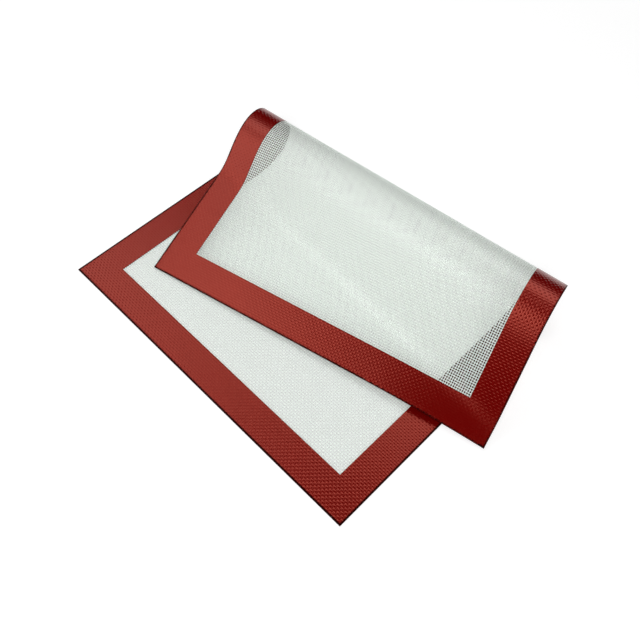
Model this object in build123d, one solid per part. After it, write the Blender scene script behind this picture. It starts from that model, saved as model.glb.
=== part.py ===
"""Silicone baking mat, stored folded back over itself.

A woven glass mesh is buried in clear silicone, a coat on its face and a coat on its
back. A wide red silicone band is laid round the rim of both sides, and a thin red seal
closes the cut edge, so that no glass shows. The layers are bonded over their whole
area, and the six of them bend as one sheet.

The sheet is drawn flat first: across is the distance from its left edge, and distance
is how far a point lies from its front edge. It hardly stretches, so it can only bend
along straight lines. It is folded here along many such lines, a few degrees on each,
that run slightly askew across it, which turns the free end a little out of square.

Origin: the middle of the folded mat's outline, on the surface that it lies on. +X runs
along the front edge of the lower leaf, +Y towards the fold and +Z up. Millimetres.
"""

from build123d import *
from math import asin, pi
import os

# The sheet as it is cut
sheet_width = 295.0
sheet_length = 420.0

# The red bands, from the cut edge to their inner edge
side_band_width = 25.0
end_band_width = 26.0

# Layers, through the thickness of the sheet
mesh_thickness = 0.3
coat_thickness = 0.15
band_thickness = 0.1

# The seal round the cut edge, and what it leaves free beside the mesh and the coats
seal_width = 0.6
seal_clearance = 0.05

# The fold. Each pair is for the left and the right edge of the sheet, as shares of its
# length from the front edge.
fold_start_shares = (0.392, 0.431)
fold_end_shares = (0.72, 0.836)
fold_steps = 36

# Behind the fold the free end bends back a little, until it lies nearly level
relief_start_shares = (0.724, 0.933)
relief_end_shares = (0.781, 0.990)
relief_turn = 24.0
relief_steps = 6

# The free end comes down until its lower corner is this far above the lower leaf.
# Between these two turns of the fold, in degrees, it passes from too high to too low.
rest_clearance = 0.3
least_turn = 150.0
most_turn = 280.0
turn_trials = 40

# Digits after the point to which corners that meet are compared
meeting_digits = 5

# Heights of the layers above the underside
back_coat_base = band_thickness
mesh_base = back_coat_base + coat_thickness
face_coat_base = mesh_base + mesh_thickness
face_band_base = face_coat_base + coat_thickness
sheet_thickness = face_band_base + band_thickness


def step_share(step, steps):
    """Where one fold line of a bend lies, from 0 at its start to 1 at its end.

    The lines crowd together at the middle, where a bent sheet is most curved.
    """
    return 0.5 + asin((2 * step + 1) / steps - 1) / pi


def bend_lines(start_shares, end_shares, turn, steps):
    """The fold lines of one bend, each with its distances at both edges and its angle."""
    lines = []
    for step in range(steps):
        share = step_share(step, steps)
        left, right = [
            sheet_length * (start + (end - start) * share)
            for start, end in zip(start_shares, end_shares)
        ]
        lines.append((left, right, turn / steps))
    return lines


def all_fold_lines(fold_turn):
    """Every fold line of the sheet, from the front edge to the free edge."""
    fold = bend_lines(fold_start_shares, fold_end_shares, fold_turn, fold_steps)
    relief = bend_lines(relief_start_shares, relief_end_shares, -relief_turn, relief_steps)
    return fold + relief


def folded(leaf, line):
    """The plane of the next leaf, turned about a fold line of this one."""
    left, right, angle = line
    pivot = leaf.from_local_coords(Vector(0, left, 0))
    hinge = Axis(pivot, leaf.from_local_coords(Vector(sheet_width, right, 0)) - pivot)
    return Plane(
        origin=pivot + (leaf.origin - pivot).rotate(hinge, angle),
        x_dir=leaf.x_dir.rotate(hinge, angle),
        z_dir=leaf.z_dir.rotate(hinge, angle),
    )


def leaf_planes(lines):
    """The planes of the narrow flat leaves between the fold lines, the lower one first.

    In each plane a point keeps its flat place: across, distance and height.
    """
    leaves = [Plane.XY]
    for line in lines:
        leaves.append(folded(leaves[-1], line))
    return leaves


def free_corner_height(fold_turn):
    """How high the lower of the two free corners comes over the lower leaf's top."""
    last_leaf = leaf_planes(all_fold_lines(fold_turn))[-1]
    corners = [
        last_leaf.from_local_coords(Vector(across, sheet_length, sheet_thickness))
        for across in (0, sheet_width)
    ]
    return min(corner.Z for corner in corners) - sheet_thickness


def resting_turn():
    """The turn of the fold, in degrees, that lays the free end on the lower leaf."""
    low, high = least_turn, most_turn
    for _ in range(turn_trials):
        middle = (low + high) / 2
        if free_corner_height(middle) > rest_clearance:
            low = middle
        else:
            high = middle
    return (low + high) / 2


def distance_on(line, across):
    """How far a fold line lies from the front edge, at a place across."""
    left, right, _ = line
    return left + (right - left) * across / sheet_width


def rise_between(leaf, next_leaf):
    """The way that the thickness goes on the fold line between two leaves.

    It leans halfway between them. That is the mitre at which a layer of any height
    passes from leaf to leaf, with its thickness kept on both sides.
    """
    return (leaf.z_dir + next_leaf.z_dir) / (1 + leaf.z_dir.dot(next_leaf.z_dir))


def split(loop, number):
    """The parts of a flat loop in front of a fold line and behind it.

    A corner of a loop has its place across, its distance, and the number of the fold
    line that it lies on, or None.
    """
    line = lines_at_rest[number]
    front, behind = [], []
    for corner, following in zip(loop, loop[1:] + loop[:1]):
        over = corner[1] - distance_on(line, corner[0])
        next_over = following[1] - distance_on(line, following[0])
        if over > 0:
            behind.append(corner)
        else:
            front.append(corner)
        if (over > 0) != (next_over > 0):
            across = corner[0] + (following[0] - corner[0]) * over / (over - next_over)
            crossing = (across, distance_on(line, across), number)
            front.append(crossing)
            behind.append(crossing)
    return front, behind


def on_leaf(loop, leaf):
    """A flat loop where it lies on the folded sheet: each corner's foot and its rise."""
    return [
        (
            leaf.from_local_coords(Vector(across, distance, 0)),
            leaf.z_dir if number is None else rises[number],
        )
        for across, distance, number in loop
    ]


def patches(left, right, near, far):
    """A rectangle of the sheet as it lies on the leaves, with one loop on each leaf."""
    loop = [(left, near, None), (right, near, None), (right, far, None), (left, far, None)]
    loops = []
    for number in range(len(lines_at_rest)):
        front, loop = split(loop, number)
        loops.append(on_leaf(front, leaves[number]))
    loops.append(on_leaf(loop, leaves[-1]))
    return [patch for patch in loops if patch]


def flat_face(points):
    return Face(Wire.make_polygon(points, close=True))


def spot(corner):
    """Where a corner's foot is, rounded, so that patches that meet there agree on it."""
    foot, _ = corner
    return tuple(round(value, meeting_digits) for value in foot)


def thickened(cells, low, high):
    """The solid between two heights over patches that join edge to edge.

    Walls close the edges that only one patch has. They are triangles, because the lean
    of the fold lines twists them very slightly.
    """
    faces = []
    borders = {}
    for cell in cells:
        faces.append(flat_face([foot + rise * high for foot, rise in cell]))
        faces.append(flat_face([foot + rise * low for foot, rise in reversed(cell)]))
        for corner, following in zip(cell, cell[1:] + cell[:1]):
            if (spot(following), spot(corner)) in borders:
                del borders[(spot(following), spot(corner))]
            else:
                borders[(spot(corner), spot(following))] = (corner, following)
    for (foot, rise), (next_foot, next_rise) in borders.values():
        bottom, next_bottom = foot + rise * low, next_foot + next_rise * low
        top, next_top = foot + rise * high, next_foot + next_rise * high
        faces.append(flat_face([bottom, next_bottom, next_top]))
        faces.append(flat_face([bottom, next_top, top]))
    return Solid(Shell(faces)).fix().clean()


def whole_layer(inset, low, high):
    """A layer that covers the sheet up to an inset from its cut edge."""
    cells = patches(inset, sheet_width - inset, inset, sheet_length - inset)
    return thickened(cells, low, high)


def frame_layer(side_width, end_width, low, high):
    """A layer that runs round the rim of the sheet as a closed frame."""
    sides = [(0, side_width), (sheet_width - side_width, sheet_width)]
    bars = [(0, end_width), (sheet_length - end_width, sheet_length)]
    between = (side_width, sheet_width - side_width)
    cells = []
    for left, right in [*sides, between]:
        for near, far in bars:
            cells.extend(patches(left, right, near, far))
    for left, right in sides:
        cells.extend(patches(left, right, end_width, sheet_length - end_width))
    return thickened(cells, low, high)


def glass_mesh():
    """The woven glass mesh, as the closed sheet that it makes with the silicone in it."""
    return whole_layer(core_inset, mesh_base, face_coat_base)


def face_coat():
    """Clear silicone on the face, which lies inside the fold."""
    return whole_layer(core_inset, face_coat_base, face_band_base)


def back_coat():
    """Clear silicone on the back, which lies outside the fold."""
    return whole_layer(core_inset, back_coat_base, mesh_base)


def edge_seal():
    """The red silicone that closes the cut edge of the mesh and its coats."""
    return frame_layer(seal_width, seal_width, back_coat_base, face_band_base)


def face_band():
    """The red band round the rim of the face."""
    return frame_layer(side_band_width, end_band_width, face_band_base, sheet_thickness)


def back_band():
    """The red band round the rim of the back. The folded mat rests on it."""
    return frame_layer(side_band_width, end_band_width, 0, back_coat_base)


core_inset = seal_width + seal_clearance
turn_at_rest = resting_turn()
lines_at_rest = all_fold_lines(turn_at_rest)
leaves = leaf_planes(lines_at_rest)
rises = [rise_between(leaf, next_leaf) for leaf, next_leaf in zip(leaves, leaves[1:])]

parts = {
    "glass_mesh": glass_mesh(),
    "face_coat": face_coat(),
    "back_coat": back_coat(),
    "edge_seal": edge_seal(),
    "face_band": face_band(),
    "back_band": back_band(),
}

outline = Compound(list(parts.values())).bounding_box()
middle = outline.center()
to_origin = Pos(-middle.X, -middle.Y, 0)

os.makedirs("parts", exist_ok=True)
for name, solid in parts.items():
    placed = to_origin * solid
    placed.label = name
    export_step(placed, f"parts/{name}.step")

print(f"flat sheet {sheet_width} x {sheet_length}, {sheet_thickness:.2f} thick at the bands")
print(f"turn of the fold at rest {turn_at_rest:.2f} degrees")
print(f"folded size {outline.size.X:.2f} x {outline.size.Y:.2f} x {outline.size.Z:.2f}")
print(f"left front corner at X {-middle.X:.3f}, Y {-middle.Y:.3f}")
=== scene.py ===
# %% [markdown]
# # A silicone baking mat, folded back over itself
# The mat is a glass mesh buried in clear silicone, with a wide red rim on both sides. It is
# kept folded in an open loop, so that the back of its free end shows on top. We model each
# layer flat, as the factory lays it up, and then bend all of them with one and the same
# fold. That keeps six thin layers from cutting through each other, which drawing each of
# them in its bent shape would not.
#
# First the imported CAD model comes in. It is the frame that everything here is fitted to.

# %% Load the frame
import math

import bpy
import numpy as np
from mathutils import Matrix, Vector


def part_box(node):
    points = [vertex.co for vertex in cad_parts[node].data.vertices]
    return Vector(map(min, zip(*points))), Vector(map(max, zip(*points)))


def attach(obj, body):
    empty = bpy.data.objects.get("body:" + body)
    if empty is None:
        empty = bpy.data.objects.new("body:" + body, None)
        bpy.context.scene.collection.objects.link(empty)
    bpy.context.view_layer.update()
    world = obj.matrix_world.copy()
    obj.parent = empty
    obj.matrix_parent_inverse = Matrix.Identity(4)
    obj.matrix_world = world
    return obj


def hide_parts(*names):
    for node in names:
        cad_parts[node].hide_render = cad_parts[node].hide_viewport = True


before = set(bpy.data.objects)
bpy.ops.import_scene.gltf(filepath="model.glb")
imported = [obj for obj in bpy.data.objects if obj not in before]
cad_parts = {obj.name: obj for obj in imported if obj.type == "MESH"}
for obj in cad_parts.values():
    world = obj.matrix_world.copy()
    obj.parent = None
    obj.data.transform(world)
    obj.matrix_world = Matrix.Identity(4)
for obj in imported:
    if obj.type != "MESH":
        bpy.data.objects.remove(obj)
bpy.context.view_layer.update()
print("frame holds", sorted(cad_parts))

# %% [markdown]
# ## Sizes
# These are the sheet's real sizes, the same as in the CAD source: a half-sheet mat of 295 by
# 420 mm. Blender works in metres, so each one is written in millimetres and scaled. The
# heights are counted up from the mat's back, which is the side that lies on the table.

# %% Sizes of the sheet and its layers
MM = 0.001
sheet_width = 295 * MM
sheet_length = 420 * MM
side_band_width = 25 * MM
end_band_width = 26 * MM

band_thickness = 0.1 * MM
coat_thickness = 0.15 * MM
mesh_thickness = 0.3 * MM

back_coat_base = band_thickness
mesh_base = back_coat_base + coat_thickness
face_coat_base = mesh_base + mesh_thickness
face_band_base = face_coat_base + coat_thickness
sheet_thickness = face_band_base + band_thickness
print(f"sheet {sheet_width:.3f} x {sheet_length:.3f} m, {sheet_thickness / MM:.1f} mm thick")

# %% [markdown]
# ## The fold
# A sheet that hardly stretches can bend only along straight lines. The CAD model bends it a
# few degrees on each of 36 lines that run slightly askew, crowded where the bend is
# tightest, and then bends the free end back a little, until it lies nearly level. A bend
# modifier knows only one axis and an even curve. So we use many more of the same lines
# here, about one degree each. Each pair of shares is for the left and the right edge, as a
# part of the sheet's length from its front edge.

# %% Lines of the fold
fold_start_shares = (0.392, 0.431)
fold_end_shares = (0.72, 0.836)
fold_steps = 200
relief_start_shares = (0.724, 0.933)
relief_end_shares = (0.781, 0.990)
relief_turn = 24.0
relief_steps = 30


def step_shares(steps):
    """Where the lines of a bend lie, from 0 at its start to 1 at its end."""
    return 0.5 + np.arcsin((2 * np.arange(steps) + 1) / steps - 1) / math.pi


def bend_lines(start_shares, end_shares, turn, steps):
    """Each line's distance at the left and at the right edge, and its angle."""
    lines = []
    for share in step_shares(steps):
        left, right = [
            sheet_length * (start + (end - start) * share)
            for start, end in zip(start_shares, end_shares)
        ]
        lines.append((left, right, math.radians(turn / steps)))
    return lines


print(f"{fold_steps} lines in the fold, and {relief_steps} that bend the free end back")

# %% [markdown]
# Between two lines lies a narrow flat leaf. Each leaf is carried along by the one before it
# and turned about the line that they share. The free end comes to rest when its lower
# corner almost touches the lower leaf. We halve the range of turns until that height is
# met, as the CAD source does, so the two agree without any number being copied.

# %% Leaves of the fold at rest
rest_clearance = 0.3 * MM
least_turn = 150.0
most_turn = 280.0
turn_trials = 30


def leaf_places(fold_turn):
    """The place of every leaf, from the lower one to the free end."""
    leaf = Matrix.Identity(4)
    leaves = [leaf]
    for left, right, angle in (
        *bend_lines(fold_start_shares, fold_end_shares, fold_turn, fold_steps),
        *bend_lines(relief_start_shares, relief_end_shares, -relief_turn, relief_steps),
    ):
        pivot = leaf @ Vector((0, left, 0))
        hinge = leaf @ Vector((sheet_width, right, 0)) - pivot
        turn = Matrix.Rotation(angle, 4, hinge)
        leaf = Matrix.Translation(pivot) @ turn @ Matrix.Translation(-pivot) @ leaf
        leaves.append(leaf)
    return leaves


def free_corner_height(fold_turn):
    """How high the lower free corner comes over the lower leaf."""
    last = leaf_places(fold_turn)[-1]
    corners = [last @ Vector((x, sheet_length, sheet_thickness)) for x in (0, sheet_width)]
    return min(corner.z for corner in corners) - sheet_thickness


low_turn, high_turn = least_turn, most_turn
for _ in range(turn_trials):
    middle_turn = (low_turn + high_turn) / 2
    if free_corner_height(middle_turn) > rest_clearance:
        low_turn = middle_turn
    else:
        high_turn = middle_turn
turn_at_rest = (low_turn + high_turn) / 2
leaves = np.array(leaf_places(turn_at_rest))
print(f"turn of the fold {turn_at_rest:.2f} degrees, {len(leaves)} leaves")

# %% [markdown]
# `fold_piece` carries a flat piece onto the leaves. Each point's share of the way through
# a bend tells how many lines it has passed, and so which leaf it lies on. Before that, the
# flat place is kept as a UV map named sheet, so that the weave and the wear in the
# materials follow the cloth round the bend.
#
# The free end's right corner hangs past the lower leaf with nothing under it, and a limp
# mat gives way there. Cloth simulation could sag it, but six layers would then have to be
# kept apart again. So each piece comes down by a few millimetres towards that corner.

# %% Fold a flat piece
corner_sag = 6 * MM
sag_start = np.array((200 * MM, 330 * MM))
free_corner = np.array((sheet_width, sheet_length))
front_left_corner = np.array(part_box("back_band")[0])


def points_of(piece):
    """The places of a piece's points, one row for each."""
    places = np.zeros(len(piece.data.vertices) * 3)
    piece.data.vertices.foreach_get("co", places)
    return places.reshape(-1, 3)


def move_points(piece, places):
    piece.data.vertices.foreach_set("co", places.ravel())
    piece.data.update()


def lines_passed(flat, start_shares, end_shares, steps):
    """How many lines of a bend lie in front of each flat point."""
    across = flat[:, 0] / sheet_width
    start = start_shares[0] + (start_shares[1] - start_shares[0]) * across
    end = end_shares[0] + (end_shares[1] - end_shares[0]) * across
    share = (flat[:, 1] / sheet_length - start) / (end - start)
    return np.searchsorted(step_shares(steps), share)


def fold_piece(piece):
    """Keep the flat place as a UV map, then move every point onto its leaf."""
    flat = points_of(piece)
    corners = np.zeros(len(piece.data.loops), dtype=np.int32)
    piece.data.loops.foreach_get("vertex_index", corners)
    sheet_map = piece.data.uv_layers.new(name="sheet")
    sheet_map.data.foreach_set("uv", flat[corners, :2].ravel())
    leaf = lines_passed(flat, fold_start_shares, fold_end_shares, fold_steps)
    leaf += lines_passed(flat, relief_start_shares, relief_end_shares, relief_steps)
    place = leaves[leaf]
    folded = np.einsum("nij,nj->ni", place[:, :3, :3], flat) + place[:, :3, 3]
    # Squared, so that the sag starts level
    towards = np.clip((flat[:, :2] - sag_start) / (free_corner - sag_start), 0, 1)
    folded[:, 2] -= corner_sag * (towards**2).prod(axis=1)
    move_points(piece, folded + front_left_corner)


def report(piece):
    """Say how many triangles a finished piece has."""
    piece.data.calc_loop_triangles()
    print(f"{piece.name}: {len(piece.data.loop_triangles)} triangles")


print("left front corner of the mat", front_left_corner.round(4))

# %% [markdown]
# ## Working as by hand
# Operators act on whatever is selected, and the frame arrives selected. So each piece
# starts by clearing the selection. Modifiers are applied at once, in the order in
# which they are added. Edges that turn by less than the smooth angle are shaded as round.

# %% Small helpers for modelling
smooth_angle = math.radians(50)


def nothing_selected():
    if bpy.context.object and bpy.context.object.mode != "OBJECT":
        bpy.ops.object.mode_set(mode="OBJECT")
    bpy.ops.object.select_all(action="DESELECT")


def edit_all():
    bpy.ops.object.mode_set(mode="EDIT")
    bpy.ops.mesh.select_all(action="SELECT")


def finish_with(piece, kind, **settings):
    """Add a modifier with these settings and apply it."""
    modifier = piece.modifiers.new(kind.lower(), kind)
    for name, value in settings.items():
        setattr(modifier, name, value)
    bpy.ops.object.modifier_apply(modifier=modifier.name)


def repeat(piece, count, step, **settings):
    """Copies of a piece in a row, each one a step further on."""
    finish_with(
        piece,
        "ARRAY",
        count=count,
        use_relative_offset=False,
        use_constant_offset=True,
        constant_offset_displace=step,
        **settings,
    )


# %% [markdown]
# ## The glass mesh
# The mesh is a plain weave of flat glass yarns, a little under 2 mm from one to the next, and
# the gaps between them are twice as wide as the yarns. The warp runs along the sheet and the
# weft across it. A picture of a weave would look right only from straight above, so the
# yarns are real here: where the upper leaf lies over the red rim of the lower one, the dark
# rim shows through the gaps.

# %% Sizes of the weave
warp_pitch = 1.82 * MM
weft_pitch = 1.91 * MM
yarn_width = 0.6 * MM
yarn_thickness = 0.15 * MM
yarn_sides = 4
weave_height = (mesh_thickness - yarn_thickness) / 2
core_middle = mesh_base + mesh_thickness / 2

# The mesh and the coats end this far inside the cut edge, where the seal is
core_inset = 0.65 * MM

warp_count = int((sheet_width - 2 * core_inset) / warp_pitch)
weft_count = int((sheet_length - 2 * core_inset) / weft_pitch)
first_warp = (sheet_width - (warp_count - 1) * warp_pitch) / 2
first_weft = (sheet_length - (weft_count - 1) * weft_pitch) / 2
print(f"{warp_count} yarns along the sheet and {weft_count} across it")

# %% [markdown]
# One short length of yarn is modelled from a flattened ring of four sides, which stands
# across the yarn. Array modifiers repeat it along the yarn, at two lengths for each
# crossing, and then from yarn to yarn. More sides would not show at this size.

# %% Model a bundle of yarns
lengths_per_crossing = 2
merge_reach = yarn_thickness / 100


def yarn_bundle(name, start, run, step, crossings, yarn_count):
    """Flat, straight yarns. run goes to the next crossing, and step to the next yarn."""
    nothing_selected()
    upright = (math.pi / 2, 0, math.atan2(-run.x, run.y))
    bpy.ops.mesh.primitive_circle_add(
        vertices=yarn_sides,
        radius=yarn_width / 2,
        location=start,
        rotation=upright,
        calc_uvs=False,
    )
    piece = bpy.context.object
    piece.name = name
    bpy.ops.object.transform_apply(location=True, rotation=True, scale=True)
    edit_all()
    flatness = yarn_thickness / yarn_width
    length = run / lengths_per_crossing
    bpy.ops.transform.resize(value=(1, 1, flatness), center_override=start)
    bpy.ops.mesh.extrude_region_move(TRANSFORM_OT_translate={"value": length})
    bpy.ops.object.mode_set(mode="OBJECT")
    repeat(
        piece,
        lengths_per_crossing * crossings,
        length,
        use_merge_vertices=True,
        merge_threshold=merge_reach,
    )
    edit_all()
    bpy.ops.mesh.fill_holes(sides=yarn_sides)
    bpy.ops.mesh.normals_make_consistent(inside=False)
    bpy.ops.object.mode_set(mode="OBJECT")
    repeat(piece, yarn_count, step)
    bpy.ops.object.shade_smooth_by_angle(angle=smooth_angle)
    return piece


# %% [markdown]
# Each yarn then goes over one crossing yarn and under the next, which is a cosine with a
# period of two pitches. Neighbouring yarns are half a period apart. We lift the points in
# code, because this is one rule for thirty-five thousand crossings.
#
# The yarns are in three bundles each way, which keeps every mesh small. They cast no
# shadow: glass in clear silicone passes light on to what lies under it.

# %% Weave the yarns over and under
ACROSS, ALONG = 0, 1
to_next_warp = Vector((warp_pitch, 0, 0))
to_next_weft = Vector((0, weft_pitch, 0))
first_crossing = Vector((first_warp, first_weft, core_middle))


def weave(piece, direction):
    """Lift the points of yarns that run in this direction over and under the others."""
    flat = points_of(piece)
    pitches = (flat[:, :2] - (first_warp, first_weft)) / (warp_pitch, weft_pitch)
    own = np.round(pitches[:, 1 - direction])
    crossed = pitches[:, direction]
    sign = 1 if direction == ALONG else -1
    flat[:, 2] += sign * weave_height * np.cos(math.pi * own) * np.cos(math.pi * crossed)
    move_points(piece, flat)


yarn_kinds = (
    ("warp", ALONG, ("left", "middle", "right"), warp_count, to_next_warp, weft_count, to_next_weft),
    ("weft", ACROSS, ("front", "fold", "free"), weft_count, to_next_weft, warp_count, to_next_warp),
)
yarns = []
for kind, direction, parts, total, step, crossings, run in yarn_kinds:
    for number, part in enumerate(parts):
        first, last = [total * end // len(parts) for end in (number, number + 1)]
        start = first_crossing + first * step - run / 2
        piece = yarn_bundle(f"{kind}_yarns_{part}", start, run, step, crossings, last - first)
        weave(piece, direction)
        fold_piece(piece)
        piece.visible_shadow = False
        report(piece)
        yarns.append(piece)

# %% [markdown]
# ## The silicone coats
# A coat of clear silicone covers each side of the mesh. It is a plain sheet, so a grid with
# a Solidify modifier is enough. The rows are 1.5 mm apart, which keeps the bend smooth to a
# few hundredths of a millimetre, less than the thinnest layer.

# %% Model a flat layer
columns = 60
rows = 280


def flat_grid(name, inset, height):
    """A flat grid that covers the sheet up to an inset from its cut edge."""
    nothing_selected()
    bpy.ops.mesh.primitive_grid_add(
        x_subdivisions=columns, y_subdivisions=rows, size=1, calc_uvs=False
    )
    piece = bpy.context.object
    piece.name = name
    edit_all()
    size = (sheet_width - 2 * inset, sheet_length - 2 * inset, 1)
    bpy.ops.transform.resize(value=size, center_override=(0, 0, 0))
    bpy.ops.transform.translate(value=(sheet_width / 2, sheet_length / 2, height))
    bpy.ops.object.mode_set(mode="OBJECT")
    return piece


# %% [markdown]
# Clear silicone hardly shades what lies under it. A ray may also pass only a few clear
# surfaces before it stops, and would leave the mesh dark. So the coats cast no shadow, and
# light that bounces between the layers passes them by. Only the camera and mirrors see them.

# %% Model the two coats
coats = []
for name, height in (("face_silicone", face_coat_base), ("back_silicone", back_coat_base)):
    coat = flat_grid(name, core_inset, height)
    finish_with(coat, "SOLIDIFY", thickness=coat_thickness, offset=1)
    fold_piece(coat)
    bpy.ops.object.shade_smooth_by_angle(angle=smooth_angle)
    coat.visible_shadow = False
    coat.visible_diffuse = False
    report(coat)
    coats.append(coat)
face_silicone, back_silicone = coats


# %% [markdown]
# ## The red bands and the seal
# A red band is printed round the rim of each side, and a red bead closes the cut edge. All
# three are frames. The grid is cut with Bisect along the frame's inner edges, and the faces
# inside them are deleted, which keeps the same rows as the coats.

# %% Model a flat frame
def flat_frame(name, inset, side_width, end_width, height):
    """A grid that keeps only its rim, from an inset up to these widths."""
    piece = flat_grid(name, inset, height)
    left, right = side_width, sheet_width - side_width
    near, far = end_width, sheet_length - end_width
    edit_all()
    for place, normal in (
        ((left, 0, height), (1, 0, 0)),
        ((right, 0, height), (1, 0, 0)),
        ((0, near, height), (0, 1, 0)),
        ((0, far, height), (0, 1, 0)),
    ):
        bpy.ops.mesh.select_all(action="SELECT")
        bpy.ops.mesh.bisect(plane_co=place, plane_no=normal)
    bpy.ops.mesh.select_mode(type="FACE")
    bpy.ops.mesh.select_all(action="DESELECT")
    bpy.ops.object.mode_set(mode="OBJECT")
    for face in piece.data.polygons:
        x, y, _ = face.center
        face.select = left < x < right and near < y < far
    bpy.ops.object.mode_set(mode="EDIT")
    bpy.ops.mesh.delete(type="FACE")
    bpy.ops.object.mode_set(mode="OBJECT")
    return piece


# %% [markdown]
# A printed edge of silicone is never sharp, so a small bevel rounds it. Smooth shading alone
# would let the narrow faces of that bevel tilt the large ones beside them, which shows as a
# dark strip. Weighted normals follow the large faces.

# %% Model the two bands
band_rounding = 0.04 * MM
band_segments = 2
sharp_edge = math.radians(60)
large_face_weight = 90

# The bead covers the bands' outer edge, so they start under it
seal_cover = 0.45 * MM


def finish_frame(piece, thickness, rounding, segments):
    """Give a flat frame its thickness and rounded edges, then fold it."""
    finish_with(piece, "SOLIDIFY", thickness=thickness, offset=1)
    finish_with(
        piece,
        "BEVEL",
        width=rounding,
        segments=segments,
        limit_method="ANGLE",
        angle_limit=sharp_edge,
    )
    fold_piece(piece)
    bpy.ops.object.shade_smooth_by_angle(angle=smooth_angle)
    finish_with(piece, "WEIGHTED_NORMAL", weight=large_face_weight, keep_sharp=True)
    report(piece)


bands = []
for name, height in (("face_rim", face_band_base), ("back_rim", 0)):
    band = flat_frame(name, seal_cover, side_band_width, end_band_width, height)
    finish_frame(band, band_thickness, band_rounding, band_segments)
    bands.append(band)
face_rim, back_rim = bands

# %% [markdown]
# The bead at the cut edge wraps the ends of all the layers, so it is a trace thicker than
# the sheet and reaches over the outer edge of both bands.

# %% Model the edge bead
bead_reach = 1.4 * MM
bead_excess = 0.02 * MM
bead_rounding = 0.3 * MM
bead_segments = 3
edge_bead = flat_frame("edge_bead", 0, bead_reach, bead_reach, 0)
finish_frame(edge_bead, sheet_thickness + bead_excess, bead_rounding, bead_segments)


# %% [markdown]
# ## Finishes
# Three effects come back in more than one material, so each is a node group: the relief
# of the weave, a soft mottling, and the wear near the cut edge. They all read the
# UV map named sheet, which holds metres on the flat sheet.

# %% Helpers for node trees
def new_node(tree, kind, **settings):
    node = tree.nodes.new(kind)
    for name, value in settings.items():
        setattr(node, name, value)
    return node


def feed(tree, socket, value):
    """Link a socket, or set a plain value."""
    if isinstance(value, bpy.types.NodeSocket):
        tree.links.new(value, socket)
    else:
        socket.default_value = value


def calc(tree, operation, *values, clamp=False):
    """A Math node on sockets or plain numbers. It gives its result's socket."""
    node = new_node(tree, "ShaderNodeMath", operation=operation, use_clamp=clamp)
    for socket, value in zip(node.inputs, values):
        feed(tree, socket, value)
    return node.outputs[0]


def blend_colour(tree, factor, first, second):
    node = new_node(tree, "ShaderNodeMix", data_type="RGBA")
    feed(tree, node.inputs["Factor"], factor)
    feed(tree, node.inputs["A"], first)
    feed(tree, node.inputs["B"], second)
    return node.outputs["Result"]


def stretch_range(tree, value, low, high, **settings):
    """0 up to the low value and 1 from the high one, with a ramp between."""
    ramp = new_node(tree, "ShaderNodeMapRange", **settings)
    feed(tree, ramp.inputs["Value"], value)
    feed(tree, ramp.inputs["From Min"], low)
    feed(tree, ramp.inputs["From Max"], high)
    return ramp.outputs[0]


# %% [markdown]
# A group's own sockets are made first, as names with starting values. The flat place on the
# sheet comes out of the UV map as one vector, or as how far across and how far along.

# %% Helpers for node groups
def new_group(name, inputs, outputs):
    """An empty node group with number sockets, given as names and starting values."""
    tree = bpy.data.node_groups.new(name, "ShaderNodeTree")
    for socket, value in inputs.items():
        item = tree.interface.new_socket(socket, in_out="INPUT", socket_type="NodeSocketFloat")
        item.default_value = value
    for socket in outputs:
        tree.interface.new_socket(socket, in_out="OUTPUT", socket_type="NodeSocketFloat")
    return tree, new_node(tree, "NodeGroupInput"), new_node(tree, "NodeGroupOutput")


def sheet_place(tree):
    """The flat place on the sheet, in metres."""
    return new_node(tree, "ShaderNodeUVMap", uv_map="sheet").outputs["UV"]


def across_and_along(tree):
    split = new_node(tree, "ShaderNodeSeparateXYZ")
    feed(tree, split.inputs[0], sheet_place(tree))
    return split.outputs["X"], split.outputs["Y"]


# %% [markdown]
# ### Relief of the weave
# The weave shows through every layer over it as a fine relief. At each crossing one of two
# rounded yarns is on top, by turns, and the gaps between them are the low spots. The weft
# stands higher than the warp, so the relief reads as staggered rows of grains. A texture
# picture could slip against the modelled yarns, and cosines of the flat place can't. Height
# is about 1 where the weft is on top, under a half where the warp is, and 0 in a gap.

# %% Node group: relief of the weave
warp_share = 0.5
yarn_blend = 0.3
relief_share = 0.5
weft_lift = 0.1


def yarn_waves(tree, place, first, pitch):
    """A cosine that turns from yarn to yarn, and its square, a ridge on each yarn."""
    pitches = calc(tree, "DIVIDE", calc(tree, "SUBTRACT", place, first), pitch)
    wave = calc(tree, "COSINE", calc(tree, "MULTIPLY", pitches, math.pi))
    return wave, calc(tree, "MULTIPLY", wave, wave)


weave_relief, _, relief_out = new_group("weave relief", {}, ["Height"])
across, along = across_and_along(weave_relief)
warp_wave, warp_ridge = yarn_waves(weave_relief, across, first_warp, warp_pitch)
weft_wave, weft_ridge = yarn_waves(weave_relief, along, first_weft, weft_pitch)
warp_over = calc(weave_relief, "MULTIPLY", warp_wave, weft_wave)
warp_up = calc(weave_relief, "ADD", 1.0, warp_over)
weft_up = calc(weave_relief, "SUBTRACT", 1.0, warp_over)
warp_top = calc(weave_relief, "MULTIPLY", warp_ridge, warp_up)
warp_top = calc(weave_relief, "MULTIPLY", warp_top, warp_share)
weft_top = calc(weave_relief, "MULTIPLY", weft_ridge, weft_up)
top = calc(weave_relief, "SMOOTH_MAX", warp_top, weft_top, yarn_blend)
lean = calc(weave_relief, "MULTIPLY", warp_over, -weft_lift)
height = calc(weave_relief, "MULTIPLY_ADD", top, relief_share, lean)
feed(weave_relief, relief_out.inputs["Height"], height)
print("node group", weave_relief.name)

# %% [markdown]
# ### Mottling and wear
# Mottling is noise at a chosen scale, stretched to the full range. Wear is strongest at
# the cut edge, where the mat rubs on trays, and fades inwards in broken patches.

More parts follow.
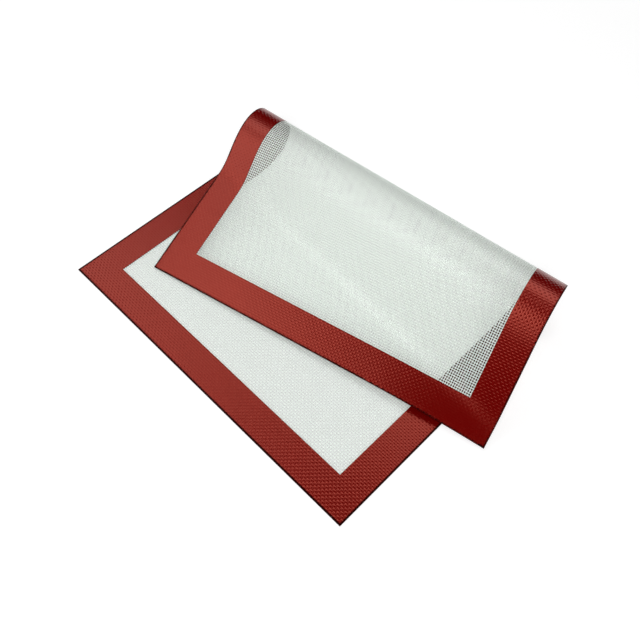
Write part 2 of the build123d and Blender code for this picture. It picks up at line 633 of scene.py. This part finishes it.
# %% Node groups: mottling and rim wear
noise_detail = 4.0
noise_low, noise_high = 0.3, 0.7
patch_scale = 160.0

mottling, mottling_in, mottling_out = new_group("soft mottling", {"Scale": 100.0}, ["Mask"])
noise = new_node(mottling, "ShaderNodeTexNoise")
feed(mottling, noise.inputs["Vector"], sheet_place(mottling))
feed(mottling, noise.inputs["Scale"], mottling_in.outputs["Scale"])
feed(mottling, noise.inputs["Detail"], noise_detail)
spread = stretch_range(mottling, noise.outputs[0], noise_low, noise_high)
feed(mottling, mottling_out.inputs["Mask"], spread)

rim_wear, wear_in, wear_out = new_group("rim wear", {"Reach": 4 * MM}, ["Mask"])
across, along = across_and_along(rim_wear)
far_side = calc(rim_wear, "SUBTRACT", sheet_width, across)
far_end = calc(rim_wear, "SUBTRACT", sheet_length, along)
from_side = calc(rim_wear, "MINIMUM", across, far_side)
from_end = calc(rim_wear, "MINIMUM", along, far_end)
from_edge = calc(rim_wear, "MINIMUM", from_side, from_end)
inwards = calc(rim_wear, "DIVIDE", from_edge, wear_in.outputs["Reach"])
fade = calc(rim_wear, "SUBTRACT", 1.0, inwards, clamp=True)
patches = new_node(rim_wear, "ShaderNodeGroup", node_tree=mottling)
feed(rim_wear, patches.inputs["Scale"], patch_scale)
worn_patches = calc(rim_wear, "MULTIPLY", fade, patches.outputs["Mask"])
feed(rim_wear, wear_out.inputs["Mask"], worn_patches)
print("node groups", mottling.name, "and", rim_wear.name)


# %% [markdown]
# ### Materials
# Every finish is one Principled shader. Groups are placed in it with their own values, and
# relief goes in through a Bump node, whose distance is the relief's real height.

# %% Helpers for materials
def new_material(name):
    material = bpy.data.materials.new(name)
    material.use_nodes = True
    tree = material.node_tree
    return material, tree, tree.nodes["Principled BSDF"]


def use_group(tree, group, **values):
    node = new_node(tree, "ShaderNodeGroup", node_tree=group)
    for name, value in values.items():
        feed(tree, node.inputs[name], value)
    return node.outputs[0]


def add_relief(tree, shader, height, distance):
    bump = new_node(tree, "ShaderNodeBump")
    feed(tree, bump.inputs["Distance"], distance)
    feed(tree, bump.inputs["Height"], height)
    feed(tree, shader.inputs["Normal"], bump.outputs["Normal"])


# %% [markdown]
# ### Red silicone
# The red print is satin and a little translucent. Where it mirrors the bright side of the
# studio it looks brick red, and elsewhere it is deep and dark, with the weave standing out
# where one turns into the other. So the base is a deep red with tinted gloss, and the
# relief does the rest.
#
# Under the see-through upper leaf the red lies in shade, so it is given painted shade
# there: a darker, greyer red, and a duller gloss. A ray that has passed a clear film
# counts one more transparent surface, so the material takes the painted shade red from then on.

# %% Material: red silicone
cloud_scale = 35.0
grain_scale = 900.0
wear_reach = 5 * MM
cloud_tone, wear_tone = 0.35, 0.5
plain_roughness, grain_roughness, wear_roughness = 0.13, 0.08, 0.15
grain_height = 0.05
silicone_index = 1.6
red_gloss = (1.0, 0.23, 0.16, 1)
# Painted shade: the dark grey that the red takes where it is seen through a clear film
painted_shade_red = (0.034, 0.036, 0.032, 1)
under_film_roughness = 0.6

# Halfway between no clear surface passed and one
one_passed = 0.5


def red_finish(name, deep, worn, relief, gloss):
    material, tree, shader = new_material(name)
    woven = use_group(tree, weave_relief)
    cloud = use_group(tree, mottling, Scale=cloud_scale)
    grain = use_group(tree, mottling, Scale=grain_scale)
    wear = use_group(tree, rim_wear, Reach=wear_reach)
    rays = new_node(tree, "ShaderNodeLightPath")
    shaded_under_film = calc(tree, "GREATER_THAN", rays.outputs["Transparent Depth"], one_passed)
    cloudy = calc(tree, "MULTIPLY", cloud, cloud_tone)
    rubbed = calc(tree, "MULTIPLY", wear, wear_tone)
    colour = blend_colour(tree, cloudy, (*deep, 1), (*worn, 1))
    colour = blend_colour(tree, rubbed, colour, (*worn, 1))
    # Painted shade on the red wherever it is seen through a clear film
    colour = blend_colour(tree, shaded_under_film, colour, painted_shade_red)
    rough = calc(tree, "MULTIPLY_ADD", grain, grain_roughness, plain_roughness)
    rough = calc(tree, "MULTIPLY_ADD", wear, wear_roughness, rough)
    rough = calc(tree, "MULTIPLY_ADD", shaded_under_film, under_film_roughness, rough, clamp=True)
    height = calc(tree, "MULTIPLY_ADD", grain, grain_height, woven)
    feed(tree, shader.inputs["Base Color"], colour)
    feed(tree, shader.inputs["Roughness"], rough)
    feed(tree, shader.inputs["IOR"], silicone_index)
    feed(tree, shader.inputs["Specular IOR Level"], gloss)
    feed(tree, shader.inputs["Specular Tint"], red_gloss)
    add_relief(tree, shader, height, relief)
    return material


red_silicone = red_finish(
    "red silicone",
    deep=(0.14, 0.0008, 0.0006),
    worn=(0.17, 0.002, 0.0015),
    relief=0.11 * MM,
    gloss=1.0,
)
# Painted shade: the same red silicone, painted nearly black for the dark line at the cut edge
edge_shade_seal = red_finish(
    "red seal in painted edge shade",
    deep=(0.014, 0.001, 0.001),
    worn=(0.03, 0.002, 0.002),
    relief=0.0,
    gloss=0.05,
)
print("materials", red_silicone.name, "and", edge_shade_seal.name)

# %% [markdown]
# ### Glass yarn
# The yarns are bright glass filaments, white with a trace of green. Where they dive under
# each other they get a painted shade, a little darker. Fine strands and a faint cloud break
# the white up. A little scattering under the surface keeps the shaded sides of such thin
# yarns from going dark.

# %% Material: glass yarn
strand_scale = 700.0
yarn_cloud_scale = 25.0
painted_shade_yarn = (0.70, 0.76, 0.71, 1)
topmost_yarn = (0.88, 0.94, 0.88, 1)
strand_gap = (0.70, 0.76, 0.70, 1)
cloudy_yarn = (0.77, 0.86, 0.80, 1)
strand_tone, yarn_cloud_tone = 0.6, 0.06
yarn_roughness, strand_roughness = 0.4, 0.15
strand_depth = 0.02 * MM
scatter_depth = 0.2 * MM
even_scatter = (1, 1, 1)

glass_yarn, tree, shader = new_material("glass yarn")
strands = use_group(tree, mottling, Scale=strand_scale)
cloud = use_group(tree, mottling, Scale=yarn_cloud_scale)
between = calc(tree, "MULTIPLY", strands, strand_tone)
cloudy = calc(tree, "MULTIPLY", cloud, yarn_cloud_tone)
# Painted shade: darker where a yarn dives under a crossing yarn, full colour on top
colour = blend_colour(tree, use_group(tree, weave_relief), painted_shade_yarn, topmost_yarn)
colour = blend_colour(tree, between, colour, strand_gap)
colour = blend_colour(tree, cloudy, colour, cloudy_yarn)
rough = calc(tree, "MULTIPLY_ADD", strands, strand_roughness, yarn_roughness)
feed(tree, shader.inputs["Base Color"], colour)
feed(tree, shader.inputs["Roughness"], rough)
feed(tree, shader.inputs["Subsurface Weight"], 1.0)
feed(tree, shader.inputs["Subsurface Radius"], even_scatter)
feed(tree, shader.inputs["Subsurface Scale"], scatter_depth)
add_relief(tree, shader, strands, strand_depth)
print("material", glass_yarn.name)

# %% [markdown]
# ### Clear silicone
# Over the yarns lies silicone so clear that only its sheen shows. A glass shader would need
# light that finds its way through eight thin surfaces. So the coat is a mirror film instead,
# and its Alpha is how much such a surface reflects: little when seen from straight above,
# and much at a slant. Only front faces mirror, as the backs would double the sheen.

# %% Material: clear silicone
haze_scale = 60.0
sheen_white = (0.90, 0.955, 0.915, 1)
haze_white = (0.87, 0.935, 0.89, 1)
clear_index = 1.41
haze_alpha = 0.004
film_roughness, haze_roughness = 0.22, 0.05
film_relief = 0.08 * MM

clear_silicone, tree, shader = new_material("clear silicone")
haze = use_group(tree, mottling, Scale=haze_scale)
mirror = new_node(tree, "ShaderNodeFresnel")
feed(tree, mirror.inputs["IOR"], clear_index)
side = new_node(tree, "ShaderNodeNewGeometry")
front = calc(tree, "SUBTRACT", 1.0, side.outputs["Backfacing"])
seen_film = calc(tree, "MULTIPLY_ADD", haze, haze_alpha, mirror.outputs[0])
alpha = calc(tree, "MULTIPLY", seen_film, front)
colour = blend_colour(tree, haze, sheen_white, haze_white)
rough = calc(tree, "MULTIPLY_ADD", haze, haze_roughness, film_roughness)
feed(tree, shader.inputs["Base Color"], colour)
feed(tree, shader.inputs["Metallic"], 1.0)
feed(tree, shader.inputs["Alpha"], alpha)
feed(tree, shader.inputs["Roughness"], rough)
add_relief(tree, shader, use_group(tree, weave_relief), film_relief)
print("material", clear_silicone.name)

# %% [markdown]
# ## Put the mat together
# Every piece rides on the mat's one rigid body and replaces the CAD layer that it stands for.

# %% Finishes, bodies and layers
layers = [
    (yarns, glass_yarn, "glass_mesh", ["glass_mesh"]),
    ([face_silicone], clear_silicone, "clear_silicone", ["face_coat"]),
    ([back_silicone], clear_silicone, "clear_silicone", ["back_coat"]),
    ([face_rim], red_silicone, "red_silicone", ["face_band"]),
    ([back_rim], red_silicone, "red_silicone", ["back_band"]),
    ([edge_bead], edge_shade_seal, "red_silicone", ["edge_seal"]),
]
for pieces, material, slot, nodes in layers:
    for piece in pieces:
        piece.data.materials.clear()
        piece.data.materials.append(material)
        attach(piece, "root")
        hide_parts(*nodes)
        print(piece.name, "replaces", *nodes)

# %% [markdown]
# ## Studio
# The mat lies on a white floor, as in a catalogue picture. Bare paper would come out grey
# under such soft lamps, so the floor glows a little for the camera and in mirrors, more so
# far off, and never lights the mat. Seen through the clear film it hardly glows,
# because little light gets in under the upper leaf.

# %% Floor
floor_size = 12
floor_drop = 0.1 * MM
nothing_selected()
bpy.ops.mesh.primitive_plane_add(size=floor_size, location=(0, 0, -floor_drop))
floor = bpy.context.object
floor.name = "floor"

paper_white, paper_fleck = (0.90, 0.90, 0.90, 1), (0.88, 0.88, 0.88, 1)
fleck_scale = 40.0
seen_grey = (0.62, 0.62, 0.62, 1)
paper_roughness = 0.8
plain_white = (1, 1, 1, 1)
pale_floor, tree, shader = new_material("pale floor")
rays = new_node(tree, "ShaderNodeLightPath")
seen = calc(tree, "ADD", rays.outputs["Is Camera Ray"], rays.outputs["Is Glossy Ray"])
seen = calc(tree, "ADD", seen, rays.outputs["Is Transmission Ray"], clamp=True)
flecks = new_node(tree, "ShaderNodeTexNoise")
feed(tree, flecks.inputs["Scale"], fleck_scale)
paper = blend_colour(tree, flecks.outputs[0], paper_white, paper_fleck)
feed(tree, shader.inputs["Base Color"], blend_colour(tree, seen, paper, seen_grey))
feed(tree, shader.inputs["Roughness"], paper_roughness)
feed(tree, shader.inputs["Specular IOR Level"], 0.0)
feed(tree, shader.inputs["Emission Color"], plain_white)
floor.data.materials.append(pale_floor)
print("floor", floor_size, "m wide")

# %% [markdown]
# The glow is worked out from the same ray counts as the painted shade on the red, and
# from the distance to the middle of the mat.

# %% Glow of the floor
open_glow = 0.52
shaded_glow = 0.05
far_glow = 0.48
glow_near, glow_far = 0.5, 2.0
open_sight = calc(tree, "LESS_THAN", rays.outputs["Transparent Depth"], one_passed)
glow = calc(tree, "MULTIPLY_ADD", open_sight, open_glow - shaded_glow, shaded_glow)
floor_place = new_node(tree, "ShaderNodeTexCoord")
far_off = new_node(tree, "ShaderNodeVectorMath", operation="LENGTH")
feed(tree, far_off.inputs[0], floor_place.outputs["Object"])
distance = stretch_range(tree, far_off.outputs["Value"], glow_near, glow_far)
glow = calc(tree, "MULTIPLY_ADD", distance, far_glow, glow)
feed(tree, shader.inputs["Emission Strength"], calc(tree, "MULTIPLY", seen, glow))
print(f"the floor glows at {shaded_glow} to {open_glow + far_glow:.2f}")

# %% [markdown]
# The mat is one sheet, folded, and rests on the floor.

print("the sheet is declared on", face_silicone.name)

# %% [markdown]
# The world gives an even, dim light and a white background. What glossy surfaces see of it
# is set apart: round softboxes with darkness between them. Their places, sizes and
# strengths were worked out from where the red rim is bright and where it is dark.

# %% World
fill_strength = 0.32
softboxes = [
    # Azimuth, elevation, the angles up to which it is full and at which it is gone, strength
    (167, 54, 11, 14, 2.21),
    (-145, 63, 10, 14, 2.6),
    (-146, 25, 22, 26, 2.42),
    (113, 54, 6, 19, 2.46),
    (-117, 56, 7, 16, 1.76),
    (160, 71, 2, 6, 2.5),
]
world = bpy.data.worlds.new("studio")
world.use_nodes = True
bpy.context.scene.world = world
tree = world.node_tree
background = tree.nodes["Background"]
direction = new_node(tree, "ShaderNodeTexCoord")
rays = new_node(tree, "ShaderNodeLightPath")


def softbox(azimuth, elevation, inner, outer, strength):
    """A round light in the mirrored world, full up to one angle and gone at another."""
    azimuth, elevation = math.radians(azimuth), math.radians(elevation)
    aim = (
        math.cos(elevation) * math.cos(azimuth),
        math.cos(elevation) * math.sin(azimuth),
        math.sin(elevation),
    )
    nearness = new_node(tree, "ShaderNodeVectorMath", operation="DOT_PRODUCT")
    feed(tree, nearness.inputs[0], direction.outputs["Generated"])
    feed(tree, nearness.inputs[1], aim)
    gone, full = math.cos(math.radians(outer)), math.cos(math.radians(inner))
    disc = stretch_range(
        tree, nearness.outputs["Value"], gone, full, interpolation_type="SMOOTHSTEP"
    )
    return calc(tree, "MULTIPLY", disc, strength)


mirrored = 0.0
for azimuth, elevation, inner, outer, strength in softboxes:
    lit = softbox(azimuth, elevation, inner, outer, strength)
    mirrored = calc(tree, "ADD", mirrored, lit)
glossy, camera_ray = rays.outputs["Is Glossy Ray"], rays.outputs["Is Camera Ray"]
light = calc(tree, "MULTIPLY_ADD", glossy, -fill_strength, fill_strength)
light = calc(tree, "MULTIPLY_ADD", glossy, mirrored, light)
white = calc(tree, "ADD", camera_ray, rays.outputs["Is Transmission Ray"], clamp=True)
light = calc(tree, "MAXIMUM", light, white)
feed(tree, background.inputs["Color"], plain_white)
feed(tree, background.inputs["Strength"], light)
print(len(softboxes), "softboxes in the mirrored world")

# %% [markdown]
# One large soft lamp from the front right gives the bends a side, and a weaker one from the
# left keeps the inside of the fold open. They are hidden from mirrors, because the world
# already has the softboxes that the silicone mirrors.

# %% Lamps
lamp_aim = Vector((0, 0, 20 * MM))


def soft_lamp(name, place, size, power):
    """A square area lamp that points at the middle of the mat."""
    data = bpy.data.lights.new(name, "AREA")
    data.size = size
    data.energy = power
    lamp = bpy.data.objects.new(name, data)
    lamp.visible_glossy = False
    lamp.location = place
    lamp.rotation_euler = (lamp_aim - Vector(place)).to_track_quat("-Z", "Y").to_euler()
    bpy.context.scene.collection.objects.link(lamp)
    print(f"{name}: {size} m wide, {power} W")


soft_lamp("front softbox", place=(0.8, -1.1, 1.7), size=1.4, power=30)
soft_lamp("left softbox", place=(-1.2, 0.2, 1.2), size=1.2, power=6)

# %% [markdown]
# ## Camera
# The place, the angles and the lens were worked out by fitting the sheet's edges to the
# edges in the picture: the camera looks down at 58 degrees from the front right.

# %% Camera
camera_place = Vector((0.21836, -0.24262, 0.49801))
camera_yaw = math.radians(-42.708)
camera_pitch = math.radians(57.887)
camera_roll = math.radians(2.502)
focal_pixels = 750.17
picture_pixels = 640
sensor = 36.0

forward = Vector(
    (
        math.cos(camera_pitch) * math.sin(camera_yaw),
        math.cos(camera_pitch) * math.cos(camera_yaw),
        -math.sin(camera_pitch),
    )
)
level = Vector((math.cos(camera_yaw), -math.sin(camera_yaw), 0))
upright = level.cross(forward)
right = math.cos(camera_roll) * level + math.sin(camera_roll) * upright
up = math.cos(camera_roll) * upright - math.sin(camera_roll) * level
camera_data = bpy.data.cameras.new("camera")
camera_data.sensor_width = sensor
camera_data.lens = focal_pixels / picture_pixels * sensor
camera = bpy.data.objects.new("camera", camera_data)
turned = Matrix((right, up, -forward)).transposed()
camera.matrix_world = Matrix.Translation(camera_place) @ turned.to_4x4()
bpy.context.scene.collection.objects.link(camera)
bpy.context.scene.camera = camera
bpy.context.scene.view_settings.view_transform = "Standard"
print(f"lens {camera_data.lens:.2f} mm")
